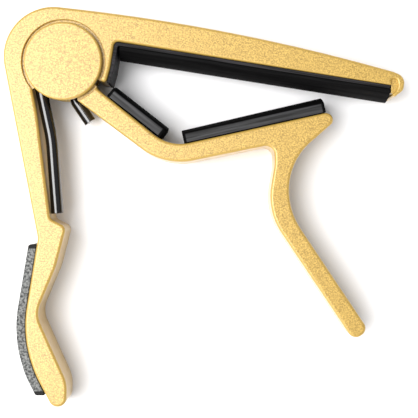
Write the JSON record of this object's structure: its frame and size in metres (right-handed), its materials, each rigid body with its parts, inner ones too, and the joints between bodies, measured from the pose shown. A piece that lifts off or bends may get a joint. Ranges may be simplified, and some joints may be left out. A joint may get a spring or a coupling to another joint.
{
  "type": "guitar capo",
  "caption": "Trigger-action clamp for a guitar neck: a sprung jaw closes a padded bar over the strings, and squeezing the handles opens it.",
  "frame": {"origin": "centre of the pivot pin's flush head: on the hinge axis, in the plane of the rear faces that the capo rests on", "axes": "+Z is the hinge axis, from the rear face to the pivot cap; +X runs along the string bar to its end hook; +Y points from the thumb handle up to the back of the bar"},
  "size_m": [0.0883, 0.0882, 0.0131],
  "materials": {
    "gold_finish": "gold metallic paint with a fine grain on cast aluminium, satin",
    "pivot_steel": "turned, satin",
    "spring_steel": "round spring wire with a glossy black coating",
    "black_rubber": "moulded black rubber, soft sheen",
    "grip_rubber": "rough speckled cellular rubber",
    "nylon": "black nylon, matt"
  },
  "bodies": {
    "bar_and_handle": {"upper_arm": "gold_finish", "string_pad": "black_rubber", "string_pad_liner": "black_rubber", "thumb_pad": "grip_rubber", "torsion_spring": "spring_steel"},
    "jaw_and_trigger": {"lower_arm": "gold_finish", "pivot_cap": "gold_finish", "pivot_pin": "pivot_steel", "spring_sleeve": "pivot_steel", "front_thrust_washer": "nylon", "rear_thrust_washer": "nylon", "inner_neck_pad": "black_rubber", "outer_neck_pad": "black_rubber"}
  },
  "joints": [
    {"name": "jaw_hinge", "type": "hinge", "parent": "bar_and_handle", "child": "jaw_and_trigger", "pos_m": [0, 0, 0], "axis": [0, 0, -1], "range_deg": [0, 28], "stiffness_Nm_per_rad": 5.8, "springref_deg": -8.88, "deforming": ["torsion_spring"]}
  ]
}
